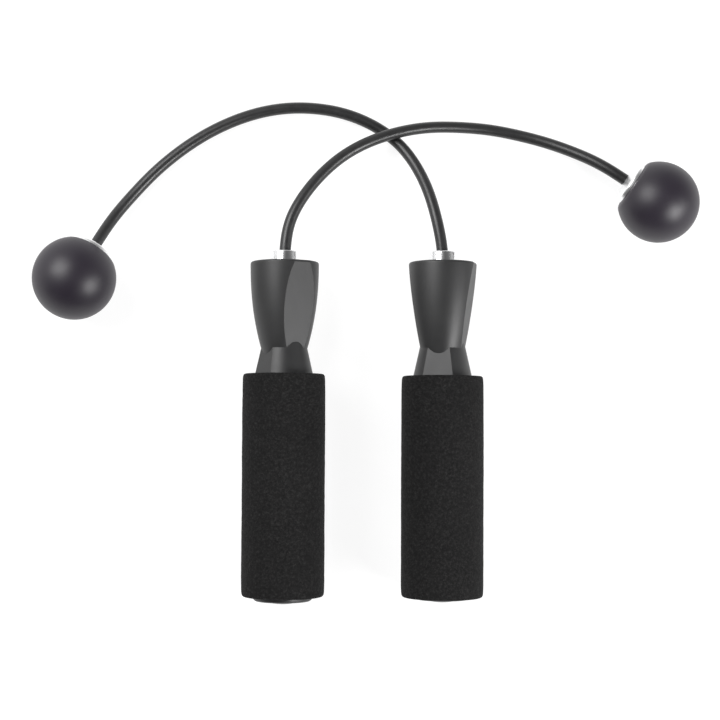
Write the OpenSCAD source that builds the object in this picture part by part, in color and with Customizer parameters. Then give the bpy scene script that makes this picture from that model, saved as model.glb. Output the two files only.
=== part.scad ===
/* [Grip] */
// Outer diameter of the foam grip
grip_d = 38.6; // [37.4:0.2:40.2]
// Length of the foam grip
grip_len = 103.1; // [101.5:0.1:104.5]
// Diameter of the rigid core tube inside the foam
core_d = 25; // [24.6:0.2:26]
// Inner diameter of the core tube
core_bore_d = 21; // [20.6:0.2:21.4]
// Rounding radius at both ends of the foam
grip_round = 1.6; // [0.8:0.1:2.2]

/* [Head] */
// Diameter of the head at its top rim
head_top_d = 32; // [31:0.2:33]
// Diameter of the head at its waist
waist_d = 21.6; // [21:0.1:22.4]
// Height of the cup from the waist to the top rim
cup_h = 40.4; // [40:0.1:41]
// Height of the neck below the waist
neck_h = 13; // [12.5:0.1:13.5]
// Distance from the axis to the cup flats at the waist
cup_flat_d = 9.75; // [9.5:0.05:10]
// Distance from the axis to the neck flats at the waist
neck_flat_d = 9.5; // [9.3:0.05:9.8]

/* [Swivel] */
// Diameter of the silver collar where the cord leaves the head
collar_d = 13.2; // [12.6:0.1:13.6]
// Height of the collar above the head
collar_h = 5.2; // [4.6:0.1:5.6]
// Number of balls in the bearing
bearing_balls = 7; // [6:1:7]

/* [Cord and ball] */
// Diameter of the cord
cord_d = 5.4; // [5:0.1:5.4]
// Diameter of the ball at the end of the cord
ball_d = 38.6; // [38:0.2:39]
// Distance from the ball's centre to its flat face
ball_flat = 14.95; // [14.8:0.05:15.1]
// Height of the silver cap on the ball's flat face
cap_h = 4.2; // [3.8:0.1:4.6]

/* [Hidden] */
$fn = 96;

// Where each handle lies: axis X, waist Y, and how far its flats are turned from straight up
left_x = -40.2;
left_y = 14.1;
left_turn = 30.5;
right_x = 34.15;
right_y = 14.75;
right_turn = 72;
axis_z = grip_d / 2;
ball_r = ball_d / 2;

// Where each ball lies, and the direction its cord leaves it: azimuth, elevation
left_ball = [137.5, 85.4, ball_r];
left_ball_dir = [146.3, -3.2];
right_ball = [-137.6, 45.9, ball_r];
right_ball_dir = [61.5, -19.5];

// Heights along the handle axis, from the waist
neck_end = -neck_h;
core_end = neck_end - 102.2;
left_grip_top = neck_end + 1.15;
right_grip_top = neck_end - 0.05;
plug_face = core_end - 1.8;
disc_apex = core_end - 3.3;
cap_base = cup_h - 4.4;
bearing_w = 7;
bearing_top = cap_base;
bearing_bot = cap_base - bearing_w;
bearing_mid = cap_base - bearing_w / 2;
seat_r = 11;
pitch_r = 7.5;
ball_b = 1.95;
groove_r = 2.03;
cavity_r = 7.4;
collar_top = cup_h + collar_h;
bore_r = 2.8;
crimp_top = bearing_bot - 1.6;
crimp_bot = crimp_top - 7;

// Routes of the cords: the points between the bushing and the ball, by hand
left_route = [
  [-38.5, 73.3, 18.9], [-31.6, 86.3, 17], [-22.8, 97.4, 14], [-11.7, 107.3, 11.4], [1.2, 114.4, 9.9], [14.7, 118.9, 9.2],
  [29.2, 121.8, 6.8], [43.7, 122.4, 4.4], [58.7, 121.8, 3], [72.7, 119.2, 3.4], [86.5, 115.2, 6.4], [99.8, 109.4, 11.4],
  [110.8, 103.6, 15.6]
];
right_route = [
  [31.7, 74, 18.8], [28.4, 88.1, 14.8], [22.8, 102.3, 8.6], [14.8, 114.1, 4.2], [3.1, 122.6, 2.9], [-10.2, 128.1, 2.8],
  [-24.8, 130.6, 2.8], [-38.8, 130.6, 2.8], [-53.3, 127.9, 2.8], [-66.8, 122.9, 2.8], [-79.3, 116.3, 2.8], [-90.7, 108.3, 2.8],
  [-101.7, 98.8, 2.8], [-111.7, 87.8, 3.4], [-121, 76, 6.5]
];

function dir3(d) = [cos(d[1]) * cos(d[0]), cos(d[1]) * sin(d[0]), sin(d[1])];
function on_axis(x, y, a) = [x, y + a, axis_z];
function whole_route(x, y, mid, ball, d) = concat(
  [on_axis(x, y, crimp_bot + 0.8), on_axis(x, y, crimp_bot + 12), on_axis(x, y, collar_top - 1.6), on_axis(x, y, collar_top)],
  mid,
  [for (t = [ball_flat + cap_h + 1.4, ball_flat + cap_h + 0.2, 14, 4.4]) ball + t * dir3(d)]
);

// A smooth path through the points: each tangent weighs its two neighbours by distance
function unit(v) = v / norm(v);
function tangent(p, i) =
  i == 0 ? unit(p[1] - p[0]) :
  i == len(p) - 1 ? unit(p[i] - p[i - 1]) :
  let (a = norm(p[i] - p[i - 1]), b = norm(p[i + 1] - p[i]))
  ((p[i + 1] - p[i]) / b * a + (p[i] - p[i - 1]) / a * b) / (a + b);
function along(p, i, t) =
  let (d = norm(p[i + 1] - p[i]), s = t * t, c = t * t * t)
  (2 * c - 3 * s + 1) * p[i] + (c - 2 * s + t) * d * tangent(p, i) + (3 * s - 2 * c) * p[i + 1] + (c - s) * d * tangent(p, i + 1);
function steps(p, i) = norm(p[i + 1] - p[i]) > 11.5 && i > 3 && i < len(p) - 4 ? 2 : 1;
function smooth(p) = concat(
  [for (i = [0 : len(p) - 2]) for (k = [0 : steps(p, i) - 1]) along(p, i, k / steps(p, i))],
  [p[len(p) - 1]]
);

// A round tube swept along the path, closed at both ends
module tube_along(path, d, sides) {
  n = len(path);
  function heading(i) = unit(i == 0 ? path[1] - path[0] : i == n - 1 ? path[i] - path[i - 1] : unit(path[i + 1] - path[i]) + unit(path[i] - path[i - 1]));
  function across(i) = unit(cross(heading(i), [0, 0, 1]));
  points = [for (i = [0 : n - 1]) for (k = [0 : sides - 1])
    let (a = 360 * (k + 0.5) / sides)
    path[i] + d / 2 * (cos(a) * across(i) + sin(a) * cross(across(i), heading(i)))];
  faces = concat(
    [[for (k = [0 : sides - 1]) k]],
    [for (i = [0 : n - 2]) for (k = [0 : sides - 1])
      let (l = (k + 1) % sides) [i * sides + k, (i + 1) * sides + k, (i + 1) * sides + l]],
    [for (i = [0 : n - 2]) for (k = [0 : sides - 1])
      let (l = (k + 1) % sides) [i * sides + k, (i + 1) * sides + l, i * sides + l]],
    [[for (k = [sides - 1 : -1 : 0]) (n - 1) * sides + k]]
  );
  polyhedron(points = points, faces = faces);
}

// Turns a shape drawn along +Z so that it lies on the handle's axis, with the waist at its origin
module on_handle(x, y) translate([x, y, axis_z]) rotate([-90, 0, 0]) children();
// Turns a shape drawn along +Z to the direction in which the cord leaves the ball
module on_ball(c, d) translate(c) rotate([0, 90 - d[1], d[0]]) children();
module ring(r_in, r_out, z0, z1) rotate_extrude() translate([r_in, z0]) square([r_out - r_in, z1 - z0]);

// Foam sleeve with rounded ends. It is stretched over the neck's foot and over the plug's flange where it reaches past them
module foam_grip(x, y, top) color([0.13, 0.13, 0.14]) on_handle(x, y) {
  r = grip_d / 2;
  end = top - grip_len;
  bore = core_d / 2 + 0.05;
  over_neck = top > neck_end ? [[13.8, top], [13.8, neck_end - 0.1], [bore, neck_end - 0.1]] : [[bore, top]];
  over_plug = end < core_end ? [[bore, core_end + 0.1], [13.8, core_end + 0.1], [13.8, end]] : [[bore, end]];
  rotate_extrude() polygon(concat(
    over_neck, over_plug,
    [for (a = [-90 : 15 : 0]) [r - grip_round + grip_round * cos(a), end + grip_round + grip_round * sin(a)]],
    [for (a = [0 : 15 : 90]) [r - grip_round + grip_round * cos(a), top - grip_round + grip_round * sin(a)]]
  ));
}

// Rigid tube under the foam
module handle_core(x, y) color([0.2, 0.2, 0.21]) on_handle(x, y)
  ring(core_bore_d / 2, core_d / 2, core_end, neck_end - 0.05);

function cup_r(h) = waist_d / 2 + (head_top_d / 2 - waist_d / 2) * (1 - pow(1 - h / cup_h, 2.25));
function neck_r(h) = waist_d / 2 - 0.225 * h;

// Cuts everything beyond two opposite planes that lean outwards by the slope
module flats(d, slope) for (m = [0, 1]) mirror([m, 0, 0])
  translate([d, 0, 0]) rotate([0, atan(slope), 0]) translate([0, -40, -60]) cube([40, 80, 140]);

// Hourglass head: a cup and a neck, each with two flats, over a spigot for the core tube
module handle_head(x, y, turn) color([0.27, 0.27, 0.28]) on_handle(x, y) rotate([0, 0, turn - 90]) difference() {
  union() {
    difference() {
      rotate_extrude() polygon(concat(
        [[0, -3]],
        [for (h = [-3, 0, 2.5, 5, 7.5, 10, 13, 16, 20, 24, 28, 33]) [cup_r(h), h]],
        [[cup_r(cup_h - 1.1), cup_h - 1.1], [head_top_d / 2 - 0.2, cup_h - 0.5], [head_top_d / 2 - 0.7, cup_h], [0, cup_h]]
      ));
      flats(cup_flat_d, 0.145);
    }
    difference() {
      rotate_extrude() polygon([[0, neck_end], [neck_r(neck_end), neck_end], [neck_r(3), 3], [0, 3]]);
      rotate([0, 0, 90]) flats(neck_flat_d, -0.175);
    }
    translate([0, 0, neck_end - 18]) cylinder(h = 18.5, r = core_bore_d / 2 - 0.05);
  }
  translate([0, 0, cap_base]) cylinder(h = 10, r = 13.5);
  translate([0, 0, bearing_bot]) cylinder(h = 10, r = seat_r);
  translate([0, 0, 3]) cylinder(h = bearing_bot - 2, r = cavity_r);
  translate([0, 0, neck_end - 19]) cylinder(h = 16 - neck_end, r = cavity_r);
}

// Ring pressed into the head over the bearing
module head_cap(x, y) color([0.24, 0.24, 0.25]) on_handle(x, y) rotate_extrude() polygon([
  [collar_d / 2 + 0.5, cap_base], [13.45, cap_base], [13.45, cup_h - 0.3], [13.15, cup_h],
  [collar_d / 2 + 0.9, cup_h], [collar_d / 2 + 0.5, cup_h - 0.4]
]);

// Plug pressed into the open end of the core tube
module end_plug(x, y) color([0.15, 0.15, 0.16]) on_handle(x, y) difference() {
  rotate_extrude() polygon([
    [0, plug_face + 0.3], [9.2, plug_face + 0.3], [9.2, plug_face], [12.6, plug_face], [13.4, plug_face + 0.5], [13.7, core_end - 0.05],
    [core_bore_d / 2 - 0.05, core_end - 0.05], [core_bore_d / 2 - 0.05, core_end + 9], [core_bore_d / 2 - 0.6, core_end + 10], [0, core_end + 10]
  ]);
  translate([0, 0, core_end + 1.5]) cylinder(h = 10, r = 8.2);
}

// Domed disc set in the plug's face
module end_disc(x, y) color([0.4, 0.4, 0.41]) on_handle(x, y) rotate_extrude() {
  rise = plug_face - disc_apex;
  dome_r = (81 + rise * rise) / (2 * rise);
  rim = asin(9 / dome_r);
  polygon(concat(
    [[0, plug_face + 0.25], [9, plug_face + 0.25]],
    [for (a = [rim : -rim / 8 : rim / 16]) [dome_r * sin(a), disc_apex + dome_r * (1 - cos(a))]],
    [[0, disc_apex]]
  ));
}

module bearing_outer_race(x, y) color([0.72, 0.73, 0.75]) on_handle(x, y) difference() {
  ring(8.95, seat_r - 0.02, bearing_bot, bearing_top);
  translate([0, 0, bearing_mid]) rotate_extrude() translate([pitch_r, 0]) circle(r = groove_r);
}

module bearing_inner_race(x, y) color([0.72, 0.73, 0.75]) on_handle(x, y) difference() {
  ring(4, 6.05, bearing_bot, bearing_top);
  translate([0, 0, bearing_mid]) rotate_extrude() translate([pitch_r, 0]) circle(r = groove_r);
}

module bearing_ball_set(x, y) color([0.85, 0.86, 0.88]) on_handle(x, y)
  for (k = [0 : bearing_balls - 1]) rotate([0, 0, k * 360 / bearing_balls])
    translate([pitch_r, 0, bearing_mid]) sphere(r = ball_b);

module bearing_cage(x, y) color([0.6, 0.5, 0.3]) on_handle(x, y) difference() {
  ring(6.95, 8.05, bearing_mid - 2.7, bearing_mid + 2.7);
  for (k = [0 : bearing_balls - 1]) rotate([0, 0, k * 360 / bearing_balls])
    translate([pitch_r - 2, 0, bearing_mid]) rotate([0, 90, 0]) cylinder(h = 4, r = groove_r);
}

// Collar and shank through the bearing: the cord runs through it
module swivel_bushing(x, y) color([0.86, 0.87, 0.89]) on_handle(x, y) rotate_extrude() polygon([
  [bore_r, bearing_bot - 1.4], [3.7, bearing_bot - 1.4], [3.95, bearing_bot - 1.15], [3.95, bearing_bot - 0.95], [3.4, bearing_bot - 0.95],
  [3.4, bearing_bot - 0.05], [3.95, bearing_bot - 0.05], [3.95, bearing_top + 0.02],
  [collar_d / 2, bearing_top + 0.02], [collar_d / 2, collar_top - 1.2], [collar_d / 2 - 0.3, collar_top - 0.6], [collar_d / 2 - 0.9, collar_top - 0.15],
  [collar_d / 2 - 1.6, collar_top], [bore_r, collar_top]
]);

// Split ring in the shank's groove, under the inner race
module snap_ring(x, y) color([0.55, 0.56, 0.58]) on_handle(x, y) difference() {
  ring(3.42, 5.6, bearing_bot - 0.9, bearing_bot - 0.1);
  translate([0, -0.9, bearing_bot - 2]) cube([10, 1.8, 4]);
}

// Sleeve crimped on the cord's inner end, so that the cord can't pull out
module crimp(r, z0, z1) rotate_extrude() polygon([
  [bore_r, z0], [r - 0.5, z0], [r, z0 + 0.5], [r, z1 - 0.5], [r - 0.5, z1], [bore_r, z1]
]);
module handle_crimp(x, y) color([0.75, 0.6, 0.35]) on_handle(x, y) crimp(3.9, crimp_bot, crimp_top);

module cord(x, y, mid, c, d) color([0.1, 0.1, 0.11]) tube_along(smooth(whole_route(x, y, mid, c, d)), cord_d, 10);

// Silver cap pressed into the ball, with a hole for the cord
module ball_cap(c, d) color([0.88, 0.88, 0.9]) on_ball(c, d) translate([0, 0, ball_flat]) rotate_extrude() polygon([
  [bore_r, -2.2], [4.7, -2.2], [4.7, -7], [6.5, -7], [6.5, 0.02], [10.4, 0.02],
  [10.4, cap_h * 0.32], [9.9, cap_h * 0.46], [8.9, cap_h * 0.61], [7.3, cap_h * 0.78], [5.5, cap_h * 0.91], [4.2, cap_h * 0.98], [3.4, cap_h], [bore_r, cap_h]
]);

// Ball with one flat face, a bevel round it, and a socket for the cap
module weight_ball(c, d) color([0.2, 0.2, 0.23]) on_ball(c, d) difference() {
  intersection() {
    sphere(r = ball_r);
    // a shallow cone that ends in the flat face and breaks its edge
    translate([0, 0, -20]) cylinder(h = 20 + ball_flat, r1 = 10.6 + 2.8 * (20 + ball_flat), r2 = 10.6);
  }
  translate([0, 0, 2]) cylinder(h = 30, r = 6.55);
}

module ball_crimp(c, d) color([0.75, 0.6, 0.35]) on_ball(c, d) crimp(4.4, 3.6, 12.4);

foam_grip(left_x, left_y, left_grip_top);  // foam_grip_left
handle_core(left_x, left_y);  // handle_core_left
handle_head(left_x, left_y, left_turn);  // handle_head_left
head_cap(left_x, left_y);  // head_cap_left
end_plug(left_x, left_y);  // end_plug_left
end_disc(left_x, left_y);  // end_disc_left
bearing_outer_race(left_x, left_y);  // bearing_outer_race_left
bearing_inner_race(left_x, left_y);  // bearing_inner_race_left
bearing_ball_set(left_x, left_y);  // bearing_balls_left
bearing_cage(left_x, left_y);  // bearing_cage_left
swivel_bushing(left_x, left_y);  // swivel_bushing_left
snap_ring(left_x, left_y);  // snap_ring_left
handle_crimp(left_x, left_y);  // handle_crimp_left
cord(left_x, left_y, left_route, left_ball, left_ball_dir);  // cord_left
ball_cap(left_ball, left_ball_dir);  // ball_cap_left
weight_ball(left_ball, left_ball_dir);  // weight_ball_left
ball_crimp(left_ball, left_ball_dir);  // ball_crimp_left
foam_grip(right_x, right_y, right_grip_top);  // foam_grip_right
handle_core(right_x, right_y);  // handle_core_right
handle_head(right_x, right_y, right_turn);  // handle_head_right
head_cap(right_x, right_y);  // head_cap_right
end_plug(right_x, right_y);  // end_plug_right
end_disc(right_x, right_y);  // end_disc_right
bearing_outer_race(right_x, right_y);  // bearing_outer_race_right
bearing_inner_race(right_x, right_y);  // bearing_inner_race_right
bearing_ball_set(right_x, right_y);  // bearing_balls_right
bearing_cage(right_x, right_y);  // bearing_cage_right
swivel_bushing(right_x, right_y);  // swivel_bushing_right
snap_ring(right_x, right_y);  // snap_ring_right
handle_crimp(right_x, right_y);  // handle_crimp_right
cord(right_x, right_y, right_route, right_ball, right_ball_dir);  // cord_right
ball_cap(right_ball, right_ball_dir);  // ball_cap_right
weight_ball(right_ball, right_ball_dir);  // weight_ball_right
ball_crimp(right_ball, right_ball_dir);  // ball_crimp_right
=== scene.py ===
import math

import bpy
import numpy as np
from mathutils import Matrix, Vector


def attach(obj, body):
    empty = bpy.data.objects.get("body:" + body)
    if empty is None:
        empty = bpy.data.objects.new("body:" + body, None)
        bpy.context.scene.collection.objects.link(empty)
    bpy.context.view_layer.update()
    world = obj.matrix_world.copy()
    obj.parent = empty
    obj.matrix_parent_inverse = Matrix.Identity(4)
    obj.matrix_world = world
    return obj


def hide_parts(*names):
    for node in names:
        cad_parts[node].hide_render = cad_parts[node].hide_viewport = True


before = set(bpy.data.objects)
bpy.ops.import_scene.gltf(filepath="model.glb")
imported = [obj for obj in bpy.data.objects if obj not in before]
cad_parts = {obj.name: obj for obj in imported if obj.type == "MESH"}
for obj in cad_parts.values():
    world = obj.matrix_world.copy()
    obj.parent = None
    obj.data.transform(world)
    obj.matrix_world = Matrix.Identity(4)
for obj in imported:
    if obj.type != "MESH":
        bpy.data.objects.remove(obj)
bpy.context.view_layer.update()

MM = 0.001
TAU = 2 * math.pi
scene = bpy.context.scene

# ---------------------------------------------------------------- camera
RIG = Vector((-4.74, 9.0, 19.3)) * MM
CAM = RIG + Vector((-54.756, -33.228, 750.0)) * MM
fwd = (RIG - CAM).normalized()
right = fwd.cross(Vector((0, 1, 0))).normalized()
up = right.cross(fwd)
roll = math.radians(0.27)
right, up = right * math.cos(roll) + up * math.sin(roll), -right * math.sin(roll) + up * math.cos(roll)
cam_data = bpy.data.cameras.new("camera")
cam = bpy.data.objects.new("camera", cam_data)
scene.collection.objects.link(cam)
cam.matrix_world = Matrix(((right.x, up.x, -fwd.x, CAM.x), (right.y, up.y, -fwd.y, CAM.y), (right.z, up.z, -fwd.z, CAM.z), (0, 0, 0, 1)))
cam_data.sensor_width = 36
cam_data.lens = 80.42
cam_data.clip_start = 0.01
cam_data.clip_end = 50
scene.camera = cam

# ---------------------------------------------------------------- sizes, as in the CAD source (mm)
AX_Z = 19.3
BALL_R = 19.3
SIDE = {
    "left": dict(x=-40.2, y=14.1, turn=30.5, grip_top=-11.85, ball=(137.5, 85.4, BALL_R), dir=(146.3, -3.2), route=[
        (-38.5, 73.3, 18.9), (-31.6, 86.3, 17), (-22.8, 97.4, 14), (-11.7, 107.3, 11.4), (1.2, 114.4, 9.9), (14.7, 118.9, 9.2),
        (29.2, 121.8, 6.8), (43.7, 122.4, 4.4), (58.7, 121.8, 3), (72.7, 119.2, 3.4), (86.5, 115.2, 6.4), (99.8, 109.4, 11.4),
        (110.8, 103.6, 15.6)]),
    "right": dict(x=34.15, y=14.75, turn=72, grip_top=-13.05, ball=(-137.6, 45.9, BALL_R), dir=(61.5, -19.5), route=[
        (31.7, 74, 18.8), (28.4, 88.1, 14.8), (22.8, 102.3, 8.6), (14.8, 114.1, 4.2), (3.1, 122.6, 2.9), (-10.2, 128.1, 2.8),
        (-24.8, 130.6, 2.8), (-38.8, 130.6, 2.8), (-53.3, 127.9, 2.8), (-66.8, 122.9, 2.8), (-79.3, 116.3, 2.8), (-90.7, 108.3, 2.8),
        (-101.7, 98.8, 2.8), (-111.7, 87.8, 3.4), (-121, 76, 6.5)]),
}
GRIP_R, CORE_R = 19.3, 12.5
GRIP_LEN, NECK_END, CORE_END = 103.1, -13.0, -115.2
CUP_H, COLLAR_TOP, COLLAR_R, BORE_R = 40.4, 45.6, 6.6, 2.8
CAP_BASE, BEAR_BOT = 36.0, 29.0
CRIMP_BOT = 20.4
BALL_FLAT, CAP_H = 14.95, 4.2


# ---------------------------------------------------------------- mesh code
def mesh_object(name, verts, faces, matrix=None, sharp=38):
    me = bpy.data.meshes.new(name)
    me.from_pydata([tuple(v) for v in np.asarray(verts) * MM], [], faces)
    me.validate()
    me.polygons.foreach_set("use_smooth", [True] * len(me.polygons))
    me.set_sharp_from_angle(angle=math.radians(sharp))
    o = bpy.data.objects.new(name, me)
    scene.collection.objects.link(o)
    if matrix is not None:
        me.transform(matrix)
        me.update()
    return o


def stitch(rings, closed_rings=False, flip=False):
    """Vertices and faces for rings of the same point count, joined in order; closed_rings joins the last ring to the first."""
    n, m = len(rings), len(rings[0])
    faces = []
    for i in range(n if closed_rings else n - 1):
        a, b = i * m, ((i + 1) % n) * m
        for k in range(m):
            l = (k + 1) % m
            f = (a + k, a + l, b + l, b + k)
            faces.append(f[::-1] if flip else f)
    return np.concatenate(rings), faces


def fillets(points, radii, n=4):
    """The profile with each corner rounded by its radius. Points are (r, h)."""
    out = []
    m = len(points)
    for i, (p, f) in enumerate(zip(points, radii)):
        p = np.array(p, float)
        if not f:
            out.append(tuple(p))
            continue
        a, b = np.array(points[(i - 1) % m], float), np.array(points[(i + 1) % m], float)
        u, v = (a - p), (b - p)
        lu, lv = np.linalg.norm(u), np.linalg.norm(v)
        u, v = u / lu, v / lv
        half = math.acos(max(-1, min(1, float(u @ v)))) / 2
        cut = min(f / math.tan(half), lu * 0.45, lv * 0.45)
        for k in range(n + 1):
            t = k / n
            out.append(tuple((1 - t) ** 2 * (p + u * cut) + 2 * t * (1 - t) * p + t * t * (p + v * cut)))
    return out


def lathe(name, profile, matrix, segments=160, loop=True, sharp=38, twist=0.0):
    """Turns the (r, h) profile about the local Z. A closed loop gives a ring; otherwise the profile's ends may touch the axis."""
    ang = TAU * (np.arange(segments) + twist) / segments
    c, s = np.cos(ang), np.sin(ang)
    verts, rows = [], []
    for r, h in profile:
        if r < 1e-6:
            rows.append([len(verts)])
            verts.append((0, 0, h))
        else:
            rows.append(list(range(len(verts), len(verts) + segments)))
            verts.extend(zip(r * c, r * s, [h] * segments))
    faces = []
    for i in range(len(rows) if loop else len(rows) - 1):
        a, b = rows[i], rows[(i + 1) % len(rows)]
        for k in range(segments):
            l = (k + 1) % segments
            if len(a) == 1 and len(b) == 1:
                continue
            if len(a) == 1:
                faces.append((a[0], b[l], b[k]))
            elif len(b) == 1:
                faces.append((a[k], a[l], b[0]))
            else:
                faces.append((a[k], a[l], b[l], b[k]))
    area = sum(profile[i][0] * profile[(i + 1) % len(profile)][1] - profile[(i + 1) % len(profile)][0] * profile[i][1] for i in range(len(profile)))
    if area < 0:
        faces = [f[::-1] for f in faces]
    return mesh_object(name, verts, faces, matrix, sharp)


def handle_matrix(s):
    d = SIDE[s]
    return Matrix.Translation(Vector((d["x"], d["y"], AX_Z)) * MM) @ Matrix.Rotation(math.radians(-90), 4, "X")


def ball_matrix(s):
    d = SIDE[s]
    az, el = d["dir"]
    return Matrix.Translation(Vector(d["ball"]) * MM) @ Matrix.Rotation(math.radians(az), 4, "Z") @ Matrix.Rotation(math.radians(90 - el), 4, "Y")


def ripple(theta, z, terms, seed):
    """A smooth seeded unevenness, periodic round the axis. Terms are (times round, wavelength in mm, size)."""
    r = np.random.default_rng(seed)
    out = np.zeros(np.broadcast(theta, z).shape)
    for n, wave, size in terms:
        for _ in range(3):
            k = int(round(n * r.uniform(0.6, 1.4)))
            out = out + size / 3 * np.sin(k * theta + TAU * z / (wave * r.uniform(0.7, 1.3)) * r.choice([-1, 1]) + r.uniform(0, TAU))
    return out


# ---------------------------------------------------------------- materials
def new_material(name):
    m = bpy.data.materials.new(name)
    m.use_nodes = True
    nt = m.node_tree
    return m, nt, nt.nodes["Principled BSDF"]


def node(nt, kind, **inputs):
    n = nt.nodes.new(kind)
    for k, v in inputs.items():
        if k.startswith("p_"):
            setattr(n, k[2:], v)
        else:
            n.inputs[k.replace("_", " ")].default_value = v
    return n


def noise(nt, coord, scale, detail=4.0, rough=0.55, stretch=None):
    src = coord
    if stretch:
        mp = node(nt, "ShaderNodeMapping")
        mp.inputs["Scale"].default_value = stretch
        nt.links.new(coord, mp.inputs["Vector"])
        src = mp.outputs["Vector"]
    n = node(nt, "ShaderNodeTexNoise", Scale=scale, Detail=detail, Roughness=rough)
    nt.links.new(src, n.inputs["Vector"])
    return n.outputs["Fac"]


def ramp(nt, fac, stops, linear=True):
    n = nt.nodes.new("ShaderNodeValToRGB")
    el = n.color_ramp.elements
    while len(el) < len(stops):
        el.new(0.5)
    for e, (pos, col) in zip(el, stops):
        e.position = pos
        e.color = (*col, 1) if len(col) == 3 else col
    nt.links.new(fac, n.inputs["Fac"])
    return n.outputs["Color"]


def remap(nt, fac, lo, hi, a=0.3, b=0.7):
    n = node(nt, "ShaderNodeMapRange")
    n.inputs["From Min"].default_value, n.inputs["From Max"].default_value = a, b
    n.inputs["To Min"].default_value, n.inputs["To Max"].default_value = lo, hi
    nt.links.new(fac, n.inputs["Value"])
    return n.outputs["Result"]


def bump(nt, height, strength, distance, normal=None):
    n = node(nt, "ShaderNodeBump", Strength=strength, Distance=distance)
    nt.links.new(height, n.inputs["Height"])
    if normal is not None:
        nt.links.new(normal, n.inputs["Normal"])
    return n.outputs["Normal"]


def add(nt, a, b, wa=1.0, wb=1.0):
    m1 = node(nt, "ShaderNodeMath", p_operation="MULTIPLY")
    m1.inputs[1].default_value = wa
    nt.links.new(a, m1.inputs[0])
    m2 = node(nt, "ShaderNodeMath", p_operation="MULTIPLY_ADD")
    m2.inputs[1].default_value = wb
    nt.links.new(b, m2.inputs[0])
    nt.links.new(m1.outputs[0], m2.inputs[2])
    return m2.outputs[0]


def tint(c, k):
    return tuple(x * k for x in c)


def solid_look(name, base, rough, metallic=0.0, vary=0.12, fine=2500, coarse=120, bump_size=0.00002, rough_vary=0.06, specular=0.5, stretch=None, coat=0.0, coat_rough=0.2, sheen=0.0, ior=1.5):
    """A hard material: uneven colour, roughness and a fine surface grain."""
    m, nt, b = new_material(name)
    co = nt.nodes.new("ShaderNodeTexCoord").outputs["Object"]
    big = noise(nt, co, coarse, 3, 0.5)
    small = noise(nt, co, fine, 5, 0.6, stretch)
    mixed = add(nt, big, small, 0.6, 0.4)
    nt.links.new(ramp(nt, mixed, [(0.3, tint(base, 1 - vary)), (0.7, tint(base, 1 + vary))]), b.inputs["Base Color"])
    nt.links.new(remap(nt, mixed, rough - rough_vary, rough + rough_vary), b.inputs["Roughness"])
    nt.links.new(bump(nt, small, 0.6, bump_size), b.inputs["Normal"])
    b.inputs["Metallic"].default_value = metallic
    b.inputs["Specular IOR Level"].default_value = specular
    b.inputs["IOR"].default_value = ior
    b.inputs["Coat Weight"].default_value = coat
    b.inputs["Coat Roughness"].default_value = coat_rough
    if sheen:
        b.inputs["Sheen Weight"].default_value = sheen
        b.inputs["Sheen Roughness"].default_value = 0.4
    return m


def foam_look(name):
    """Dense closed-cell foam, ground to size: a fine open-pored black surface, a little dusty."""
    m, nt, b = new_material(name)
    co = nt.nodes.new("ShaderNodeTexCoord").outputs["Object"]
    vor = node(nt, "ShaderNodeTexVoronoi", Scale=1500.0, Randomness=1.0)
    nt.links.new(co, vor.inputs["Vector"])
    cells = vor.outputs["Distance"]
    grit = noise(nt, co, 1500, 5, 0.75)
    clump = noise(nt, co, 760, 4, 0.65)
    patch = noise(nt, co, 38, 3, 0.5)
    h = add(nt, cells, grit, 0.55, 0.9)
    h = add(nt, h, clump, 1.0, 0.9)
    tone = add(nt, add(nt, grit, clump, 0.55, 0.42), patch, 1.0, 0.05)
    nt.links.new(ramp(nt, tone, [(0.35, (0.0040, 0.0040, 0.0042)), (0.51, (0.0112, 0.0110, 0.0111)), (0.67, (0.031, 0.0303, 0.0303))]), b.inputs["Base Color"])
    nt.links.new(remap(nt, grit, 0.88, 1.0), b.inputs["Roughness"])
    nt.links.new(bump(nt, h, 0.75, 0.00035), b.inputs["Normal"])
    b.inputs["Specular IOR Level"].default_value = 0.12
    b.inputs["Sheen Weight"].default_value = 0.02
    b.inputs["Sheen Roughness"].default_value = 0.35
    b.inputs["Sheen Tint"].default_value = (0.8, 0.8, 0.82, 1)
    return m


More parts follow.
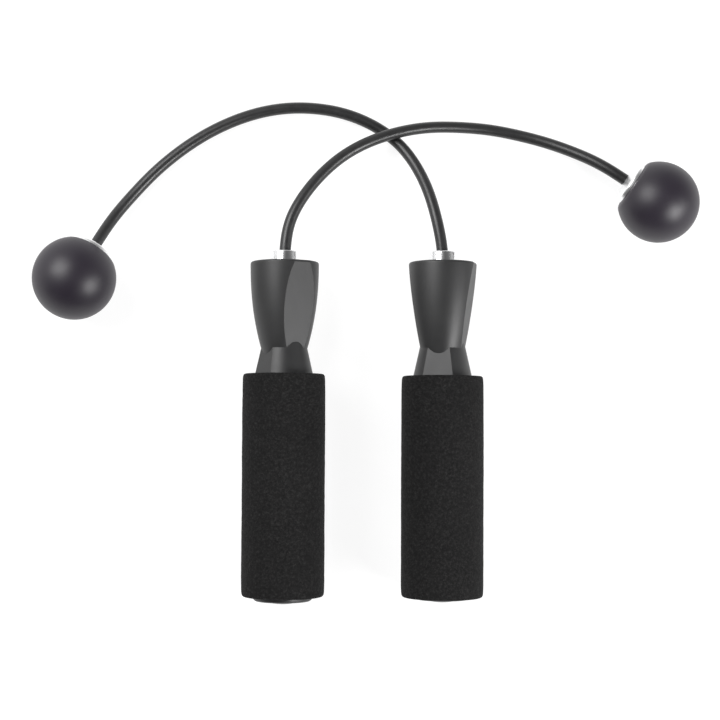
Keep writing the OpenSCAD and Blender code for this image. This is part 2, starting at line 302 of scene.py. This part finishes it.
MAT = {
    "grip_foam": foam_look("grip_foam"),
    "head_plastic": solid_look("head_plastic", (0.0175, 0.0175, 0.018), 0.46, vary=0.07, fine=5200, coarse=160, bump_size=0.000012, rough_vary=0.035),
    "cap_plastic": solid_look("cap_plastic", (0.017, 0.017, 0.0175), 0.47, vary=0.08, fine=5200, coarse=200, bump_size=0.000012, rough_vary=0.04),
    "core_plastic": solid_look("core_plastic", (0.035, 0.035, 0.036), 0.5, vary=0.12, fine=2400, bump_size=0.00003),
    "plug_plastic": solid_look("plug_plastic", (0.014, 0.014, 0.0145), 0.46, vary=0.1, fine=4600, bump_size=0.000015),
    # end disc: the black plastic made lighter as a lit copy, a painted highlight on its face toward the lamps
    "end_disc_plastic": solid_look("end_disc_plastic", (0.085, 0.085, 0.087), 0.42, vary=0.06, fine=4600, bump_size=0.000012),
    "cord_vinyl": solid_look("cord_vinyl", (0.0185, 0.0185, 0.019), 0.36, vary=0.14, fine=3600, coarse=260, bump_size=0.000018, rough_vary=0.05),
    "ball_rubber": solid_look("ball_rubber", (0.0150, 0.0112, 0.0185), 0.45, vary=0.07, fine=4200, coarse=90, bump_size=0.000012, rough_vary=0.03),
    "cap_chrome": solid_look("cap_chrome", (0.97, 0.97, 0.975), 0.34, metallic=1, vary=0.02, fine=3000, coarse=200, bump_size=0.000004, rough_vary=0.04),
    "bushing_chrome": solid_look("bushing_chrome", (0.92, 0.925, 0.93), 0.20, metallic=1, vary=0.03, fine=2600, coarse=240, bump_size=0.000004, rough_vary=0.04, stretch=(1, 14, 1)),
    "bearing_steel": solid_look("bearing_steel", (0.60, 0.61, 0.63), 0.22, metallic=1, vary=0.06, fine=3000, bump_size=0.000006),
    "spring_steel": solid_look("spring_steel", (0.34, 0.35, 0.37), 0.34, metallic=1, vary=0.1, fine=2600, bump_size=0.00001),
    "cage_brass": solid_look("cage_brass", (0.62, 0.45, 0.19), 0.32, metallic=1, vary=0.09, fine=2200, bump_size=0.00001),
    "crimp_brass": solid_look("crimp_brass", (0.66, 0.48, 0.21), 0.36, metallic=1, vary=0.1, fine=2000, bump_size=0.000012),
}


def dress(o, look):
    o.data.materials.clear()
    o.data.materials.append(MAT[look])
    return o


# ---------------------------------------------------------------- pieces of the handles
def cup_r(h):
    return 10.8 + 5.2 * (1 - np.sign(1 - h / CUP_H) * np.abs(1 - h / CUP_H) ** 2.25)


def neck_r(h):
    return 10.8 - 0.225 * h


def cup_flat(h):
    return 9.75 + 0.145 * h


def neck_flat(h):
    return 9.5 - 0.175 * h


def cup_at(phi, h):
    """Radius of the cup at the angle phi from the middle of its flat."""
    return np.minimum(cup_r(h), cup_flat(h) / np.maximum(np.abs(np.cos(phi)), 1e-3))


def neck_at(phi, h):
    """Radius of the neck, whose flats are a quarter turn from the cup's."""
    return np.minimum(neck_r(h), neck_flat(h) / np.maximum(np.abs(np.sin(phi)), 1e-3))


def crease(phi):
    """Height at which the cup and the neck meet at each angle: the waist's wavy crease."""
    lo, hi = np.full_like(phi, -3.0), np.full_like(phi, 3.0)
    for _ in range(40):
        mid = (lo + hi) / 2
        under = cup_at(phi, mid) < neck_at(phi, mid)
        lo, hi = np.where(under, mid, lo), np.where(under, hi, mid)
    return (lo + hi) / 2


def cup_edge(h):
    return math.acos(min(1.0, cup_flat(h) / float(cup_r(h))))


def neck_edge(h):
    return math.asin(min(1.0, neck_flat(h) / float(neck_r(h))))


def columns(pc, pn):
    """Angles of one ring's points, with a column of points on each edge of each flat."""
    at = [-pc, pc, pn, math.pi - pn, math.pi - pc, math.pi + pc, math.pi + pn, TAU - pn, TAU - pc]
    count = [30, 16, 30, 16, 30, 16, 30, 16]
    return np.concatenate([np.linspace(at[i], at[i + 1], count[i], endpoint=False) for i in range(8)])


def head_shell(s):
    turn = math.radians(SIDE[s]["turn"])
    pc, pn = cup_edge(0.6), neck_edge(-0.6)
    for _ in range(30):
        pc = cup_edge(float(crease(np.array([pc]))[0]))
        pn = neck_edge(float(crease(np.array([pn]))[0]))
    mid = columns(pc, pn)
    mid_h = crease(mid)
    rings = []

    def ring(r, phi, h):
        r, h = np.broadcast_to(r, phi.shape), np.broadcast_to(h, phi.shape)
        theta = phi + turn
        rings.append(np.c_[r * np.sin(theta), -r * np.cos(theta), h])

    for r, h in ((7.4, -3.0), (7.4, -30.9), (7.5, -31.0), (10.2, -31.0), (10.4, -30.9), (10.45, -30.6), (10.45, -13.0)):
        ring(r, mid, h)
    for u in (-13.0, -12.93, -12.8, -12.5, -12, -11.2, -10, -8.6, -7.2, -5.8, -4.6, -3.5, -2.5, -1.6, -0.8, -0.3):
        phi = columns(pc, neck_edge(u) if u < -4 else neck_edge(-4) + (pn - neck_edge(-4)) * (u + 4) / 4)
        h = u + mid_h * max(0.0, 1 + u / 9)
        if u > -4:
            phi = columns(pc, pn)
            for k in range(3):
                # slide the edge columns onto the edge at their own heights
                he = float(u + crease(np.array([pn]))[0] * max(0.0, 1 + u / 9))
                phi = columns(pc, neck_edge(he))
        r = neck_at(phi, h) - {-13.0: 0.14, -12.93: 0.05}.get(u, 0)
        ring(r, phi, h)
    ring(cup_at(mid, mid_h), mid, mid_h)
    for u in (0.3, 0.8, 1.6, 2.5, 3.5, 4.6, 5.8, 7.2, 8.6, 10, 11.5, 13, 14.5, 16, 17.5, 19, 20.5, 22, 23.5, 25, 26.5, 28, 29.5, 31, 32.5, 34, 35.5, 36.8, 37.9, 38.7, 39.3):
        fade = max(0.0, 1 - u / 9)
        he = float(u + crease(np.array([pc]))[0] * fade)
        phi = columns(cup_edge(he), pn)
        h = u + mid_h * fade
        ring(cup_at(phi, h), phi, h)
    rim = columns(cup_edge(39.3), pn)
    for cut, h in ((0.03, 39.6), (0.13, 39.9), (0.30, 40.13), (0.50, 40.28), (0.72, 40.37), (0.95, 40.4)):
        ring(np.minimum(cup_at(rim, 39.3 + 0.3 * (h - 39.3)), 15.98) - cut, rim, h)
    for r, h in ((13.75, 40.4), (13.62, 40.37), (13.53, 40.28), (13.5, 40.15), (13.5, CAP_BASE), (11.0, CAP_BASE), (11.0, BEAR_BOT), (7.4, BEAR_BOT), (7.4, 3)):
        ring(r, mid, h)
    v, f = stitch(rings)
    # the web across the bore, between the two pockets
    m, last = len(mid), (len(rings) - 1) * len(mid)
    v = np.concatenate([v, [(0, 0, -3.0), (0, 0, 3.0)]])
    for k in range(m):
        l = (k + 1) % m
        f.append((len(v) - 2, l, k))
        f.append((len(v) - 1, last + k, last + l))
    return mesh_object(f"head_shell_{s}", v, f, handle_matrix(s), sharp=8.5)


def foam_sleeve(s, seed):
    """Ground foam sleeve with lightly rounded ends, stretched over the neck's foot or the plug's flange where it reaches past them."""
    top = SIDE[s]["grip_top"]
    end = top - GRIP_LEN
    half_len = GRIP_LEN / 2
    seg = 240
    th = np.linspace(0, TAU, seg, endpoint=False)
    keys = np.array([(0, 17.95), (0.08, 18.25), (0.22, 18.52), (0.45, 18.74), (0.8, 18.93), (1.3, 19.06), (2.0, 19.15), (3.4, 19.22), (7, 19.27), (14, 19.3), (half_len, 19.3)])
    half = np.r_[0, 0.08, 0.22, 0.45, 0.8, 1.3, 2.0, 2.8, np.arange(3.6, half_len - 0.4, 0.75), half_len]
    hs = np.r_[half, GRIP_LEN - half[:-1][::-1]]
    rings = []
    inner = CORE_R + 0.05
    wide = 13.8

    def ring(r, h):
        r = np.broadcast_to(r, th.shape)
        x, y = r * np.cos(th), r * np.sin(th)
        y = np.minimum(y, AX_Z - 0.02)      # local +Y is down: it rests on the floor
        rings.append(np.c_[x, y, np.broadcast_to(h, th.shape)])

    for a in hs:
        e = min(a, GRIP_LEN - a)
        w = min(1.0, e / 1.5)
        r = np.interp(e, keys[:, 0], keys[:, 1]) + w * ripple(th, a, ((3, 60, 0.05), (9, 17, 0.035), (22, 6.5, 0.03), (44, 3.1, 0.022)), seed)
        ring(r, end + a)
    over_neck, over_plug = top > NECK_END, end < CORE_END
    hole_top = wide if over_neck else inner
    hole_end = wide if over_plug else inner
    for r in (17.4, 16.4, 15.4, 14.5, hole_top + 0.25):
        ring(r, top - 0.02 + 0.02 * np.sin(5 * th + seed))
    ring(hole_top, top - 0.2)
    if over_neck:
        ring(wide, NECK_END - 0.1)
        ring(inner, NECK_END - 0.1)
    for h in np.linspace(top - 6, end + 6, 9):
        ring(inner, h)
    if over_plug:
        ring(inner, CORE_END + 0.1)
        ring(wide, CORE_END + 0.1)
    ring(hole_end, end + 0.2)
    for r in (hole_end + 0.25, 14.5, 15.4, 16.4, 17.4):
        ring(r, end + 0.02 - 0.02 * np.sin(4 * th + seed))
    v, f = stitch(rings, closed_rings=True)
    return mesh_object(f"foam_sleeve_{s}", v, f, handle_matrix(s), sharp=70)


def cap_ring(s):
    pts = [(7.1, CAP_BASE + 0.02), (13.43, CAP_BASE + 0.02), (13.43, CUP_H - 0.02), (7.1, CUP_H - 0.02)]
    o = lathe(f"head_top_ring_{s}", fillets(pts, (0.1, 0.1, 0.28, 0.35)), handle_matrix(s), 160)
    return o


def bushing(s):
    b = BEAR_BOT
    pts = [(BORE_R, b - 1.4), (3.7, b - 1.4), (3.95, b - 1.15), (3.95, b - 0.95), (3.4, b - 0.95), (3.4, b - 0.05), (3.95, b - 0.05), (3.95, CAP_BASE + 0.02),
           (COLLAR_R, CAP_BASE + 0.02), (COLLAR_R, COLLAR_TOP), (BORE_R + 0.0, COLLAR_TOP)]
    rad = (0.1, 0, 0, 0.05, 0, 0, 0.05, 0.1, 0.25, 0.85, 0.4)
    o = lathe(f"silver_bushing_{s}", fillets(pts, rad, 7), handle_matrix(s), 144)
    return o


def plug(s):
    e, face = CORE_END, CORE_END - 1.8
    pts = [(0, face + 0.3), (9.2, face + 0.3), (9.2, face), (12.6, face), (13.4, face + 0.5), (13.7, e - 0.05), (10.45, e - 0.05), (10.45, e + 9.6), (9.9, e + 10), (8.2, e + 10), (8.2, e + 1.5), (0, e + 1.5)]
    rad = (0, 0.05, 0.18, 0.4, 0.3, 0.05, 0.05, 0.15, 0.1, 0.1, 0.3, 0)
    prof = fillets(pts, rad)
    return lathe(f"plug_flange_{s}", prof, handle_matrix(s), 144, loop=False)


def disc(s):
    face = CORE_END - 1.8
    apex = CORE_END - 3.3
    rise = face - apex
    R = (81 + rise * rise) / (2 * rise)
    rim = math.asin(9 / R)
    pts = [(0, face + 0.25), (8.85, face + 0.25), (9.0, face + 0.18), (9.0, face + 0.02)]
    for k in range(1, 24):
        a = rim * (1 - k / 24)
        pts.append((R * math.sin(a), apex + R * (1 - math.cos(a))))
    pts.append((0, apex))
    return lathe(f"end_button_{s}", pts, handle_matrix(s), 128, loop=False)


# ---------------------------------------------------------------- balls, caps and cords
def ball(s):
    """Moulded ball, with a soft edge round its one flat face and a socket for the cap's shank."""
    r1, z1 = 10.1, BALL_FLAT
    edge = math.acos(13.72 / BALL_R)
    pts = [(0, -BALL_R)]
    n = 96
    for k in range(1, n + 1):
        a = math.pi - (math.pi - edge) * k / n
        pts.append((BALL_R * math.sin(a), BALL_R * math.cos(a)))
    p0 = np.array(pts[-1])
    t0 = np.array((-math.cos(edge), math.sin(edge)))
    reach = (z1 - p0[1]) / t0[1]
    corner = p0 + reach * t0
    for k in range(1, 13):
        t = k / 12
        q = (1 - t) ** 2 * p0 + 2 * t * (1 - t) * corner + t * t * np.array((r1, z1))
        pts.append((float(q[0]), float(q[1])))
    pts += [(9.0, z1), (6.75, z1), (6.58, z1 - 0.12), (6.55, z1 - 0.3), (6.55, 8.0), (6.55, 2.1), (6.4, 2.0), (0, 2.0)]
    return lathe(f"round_weight_{s}", pts, ball_matrix(s), 192, loop=False, sharp=60)


def cap(s):
    z = BALL_FLAT
    dome = [(10.4, 1.25), (10.3, 1.6), (10.0, 1.92), (9.5, 2.22), (8.8, 2.54), (7.9, 2.92), (6.9, 3.29), (5.9, 3.6), (4.9, 3.86), (4.1, 4.02), (3.6, 4.1), (3.25, 4.12), (3.0, 4.05), (2.85, 3.92), (BORE_R, 3.75)]
    pts = [(BORE_R, -2.2), (4.7, -2.2), (4.7, -7), (6.5, -7), (6.5, 0.03), (10.25, 0.03), (10.4, 0.15)] + dome
    return lathe(f"silver_cap_{s}", [(r, z + h) for r, h in pts], ball_matrix(s), 160, sharp=50)


def direction(az, el):
    az, el = math.radians(az), math.radians(el)
    return np.array((math.cos(el) * math.cos(az), math.cos(el) * math.sin(az), math.sin(el)))


def route(s):
    d = SIDE[s]
    axis = [(d["x"], d["y"] + a, AX_Z) for a in (CRIMP_BOT + 0.8, CRIMP_BOT + 12, COLLAR_TOP - 1.6, COLLAR_TOP)]
    end = [np.array(d["ball"], float) + t * direction(*d["dir"]) for t in (BALL_FLAT + CAP_H + 1.4, BALL_FLAT + CAP_H + 0.2, 14, 4.4)]
    return np.array(axis + d["route"] + [tuple(e) for e in end], float)


def smooth_path(p, step=1.6):
    """The same curve as in the CAD source, then evened out, with its two ends kept straight."""
    seg = np.linalg.norm(np.diff(p, axis=0), axis=1)
    tan = [(p[1] - p[0]) / seg[0]]
    for i in range(1, len(p) - 1):
        a, b = seg[i - 1], seg[i]
        tan.append(((p[i + 1] - p[i]) / b * a + (p[i] - p[i - 1]) / a * b) / (a + b))
    tan.append((p[-1] - p[-2]) / seg[-1])
    pts = []
    for i, d in enumerate(seg):
        for t in np.linspace(0, 1, 24, endpoint=False):
            s2, s3 = t * t, t ** 3
            pts.append((2 * s3 - 3 * s2 + 1) * p[i] + (s3 - 2 * s2 + t) * d * tan[i] + (3 * s2 - 2 * s3) * p[i + 1] + (s3 - s2) * d * tan[i + 1])
    pts.append(p[-1])
    q = np.array(pts)
    along = np.r_[0, np.cumsum(np.linalg.norm(np.diff(q, axis=0), axis=1))]
    n = int(round(along[-1] / step))
    at = np.linspace(0, along[-1], n + 1)
    q = np.stack([np.interp(at, along, q[:, k]) for k in range(3)], 1)
    hold_a, hold_b = int(24.0 / step), int(15.5 / step)
    for _ in range(30):
        r = q.copy()
        r[1:-1] = 0.25 * q[:-2] + 0.5 * q[1:-1] + 0.25 * q[2:]
        r[:hold_a], r[-hold_b:] = q[:hold_a], q[-hold_b:]
        q = r
    return q


def cord_tube(s):
    path = smooth_path(route(s))
    sides, r = 32, 2.7
    t = np.gradient(path, axis=0)
    t /= np.linalg.norm(t, axis=1)[:, None]
    normal = np.cross(t[0], (0, 0, 1.0))
    rings = []
    ang = np.linspace(0, TAU, sides, endpoint=False)
    for i, p in enumerate(path):
        normal = normal - (normal @ t[i]) * t[i]
        normal /= np.linalg.norm(normal)
        other = np.cross(t[i], normal)
        rings.append(p + r * (np.cos(ang)[:, None] * normal + np.sin(ang)[:, None] * other))
    for end, sign in ((0, -1), (-1, 1)):
        tip = path[end] + rings[end] * 0
        small = path[end] + (rings[end] - path[end]) * 0.85
        if sign < 0:
            rings.insert(0, small - t[0] * 0.15)
        else:
            rings.append(small + t[-1] * 0.15)
    v, f = stitch(rings)
    m = len(rings) * sides
    f.append(tuple(range(sides))[::-1])
    f.append(tuple(range(m - sides, m)))
    v[:, 2] = np.maximum(v[:, 2], 0.02)
    return mesh_object(f"cord_sheath_{s}", v, f, None, sharp=60), path


for i, s in enumerate(("left", "right")):
    body = f"handle_{s}"
    turning = f"swivel_{s}"
    foam = dress(foam_sleeve(s, 11 + i), "grip_foam")
    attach(foam, body)
    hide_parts(f"foam_grip_{s}")
    shell = dress(head_shell(s), "head_plastic")
    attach(shell, body)
    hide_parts(f"handle_head_{s}")
    top = dress(cap_ring(s), "cap_plastic")
    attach(top, body)
    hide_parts(f"head_cap_{s}")
    end = dress(plug(s), "plug_plastic")
    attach(end, body)
    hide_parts(f"end_plug_{s}")
    # the end disc takes the lighter plastic, whose grey is painted highlight
    button = dress(disc(s), "end_disc_plastic")
    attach(button, body)
    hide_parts(f"end_disc_{s}")
    collar = dress(bushing(s), "bushing_chrome")
    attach(collar, turning)
    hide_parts(f"swivel_bushing_{s}")
    weight = dress(ball(s), "ball_rubber")
    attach(weight, turning)
    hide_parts(f"weight_ball_{s}")
    dome = dress(cap(s), "cap_chrome")
    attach(dome, turning)
    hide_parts(f"ball_cap_{s}")
    sheath, path = cord_tube(s)
    dress(sheath, "cord_vinyl")
    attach(sheath, turning)
    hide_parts(f"cord_{s}")
    for n, look in (("handle_core", "core_plastic"), ("bearing_outer_race", "bearing_steel"), ("bearing_inner_race", "bearing_steel"), ("bearing_balls", "bearing_steel"),
                    ("bearing_cage", "cage_brass"), ("snap_ring", "spring_steel"), ("handle_crimp", "crimp_brass"), ("ball_crimp", "crimp_brass")):
        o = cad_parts[f"{n}_{s}"]
        o.data.materials.clear()
        o.data.materials.append(MAT[look])

# ---------------------------------------------------------------- floor, world and lights
m, nt, b = new_material("floor_white")
co = nt.nodes.new("ShaderNodeTexCoord").outputs["Object"]
grain = noise(nt, co, 60, 4)
nt.links.new(ramp(nt, grain, [(0.3, (0.24, 0.24, 0.24)), (0.7, (0.26, 0.26, 0.26))]), b.inputs["Base Color"])
b.inputs["Roughness"].default_value = 0.85
b.inputs["Specular IOR Level"].default_value = 0.1
b.inputs["Emission Color"].default_value = (1, 1, 1, 1)
b.inputs["Emission Strength"].default_value = 0.84
me = bpy.data.meshes.new("floor")
me.from_pydata([(-8, -8, -0.0001), (8, -8, -0.0001), (8, 8, -0.0001), (-8, 8, -0.0001)], [], [(0, 1, 2, 3)])
floor = bpy.data.objects.new("floor", me)
scene.collection.objects.link(floor)
me.materials.append(m)

world = bpy.data.worlds.new("world")
scene.world = world
world.use_nodes = True
nt = world.node_tree
bg = nt.nodes["Background"]
gen = nt.nodes.new("ShaderNodeTexCoord").outputs["Generated"]
sep = nt.nodes.new("ShaderNodeSeparateXYZ")
nt.links.new(gen, sep.inputs["Vector"])
height = ramp(nt, sep.outputs["Z"], [(0.0, (0.80, 0.80, 0.80)), (0.22, (0.78, 0.78, 0.78)), (0.62, (0.30, 0.30, 0.30)), (1.0, (0.17, 0.17, 0.17))])
across = remap(nt, sep.outputs["X"], 1.15, 0.62, -0.10, 0.16)
ahead = remap(nt, sep.outputs["Y"], 0.20, 1.0, -0.50, 0.05)
sides = node(nt, "ShaderNodeMath", p_operation="MULTIPLY")
nt.links.new(across, sides.inputs[0])
nt.links.new(ahead, sides.inputs[1])
scaled = node(nt, "ShaderNodeVectorMath", p_operation="SCALE")
nt.links.new(height, scaled.inputs[0])
nt.links.new(sides.outputs[0], scaled.inputs["Scale"])
nt.links.new(scaled.outputs[0], bg.inputs["Color"])
bg.inputs["Strength"].default_value = 1.0


def softbox(name, place, aim, size, power, size_y=None):
    light = bpy.data.lights.new(name, "AREA")
    light.shape = "RECTANGLE"
    light.size = size
    light.size_y = size_y or size
    light.energy = power
    o = bpy.data.objects.new(name, light)
    scene.collection.objects.link(o)
    o.location = place
    o.rotation_mode = "QUATERNION"
    o.rotation_quaternion = (Vector(aim) - Vector(place)).to_track_quat("-Z", "Y")
    o.visible_camera = False
    return o


softbox("key", (-0.87, 0.55, 1.06), (0, 0.03, 0), 0.90, 20)
softbox("fill", (0.60, -0.37, 0.58), (0, 0.03, 0), 0.38, 7.5)
softbox("side", (1.06, -0.19, 0.54), (0, 0.03, 0), 0.40, 2.2)
scene.view_settings.view_transform = "Standard"
scene.view_settings.look = "None"
scene.view_settings.exposure = 0
scene.view_settings.gamma = 1
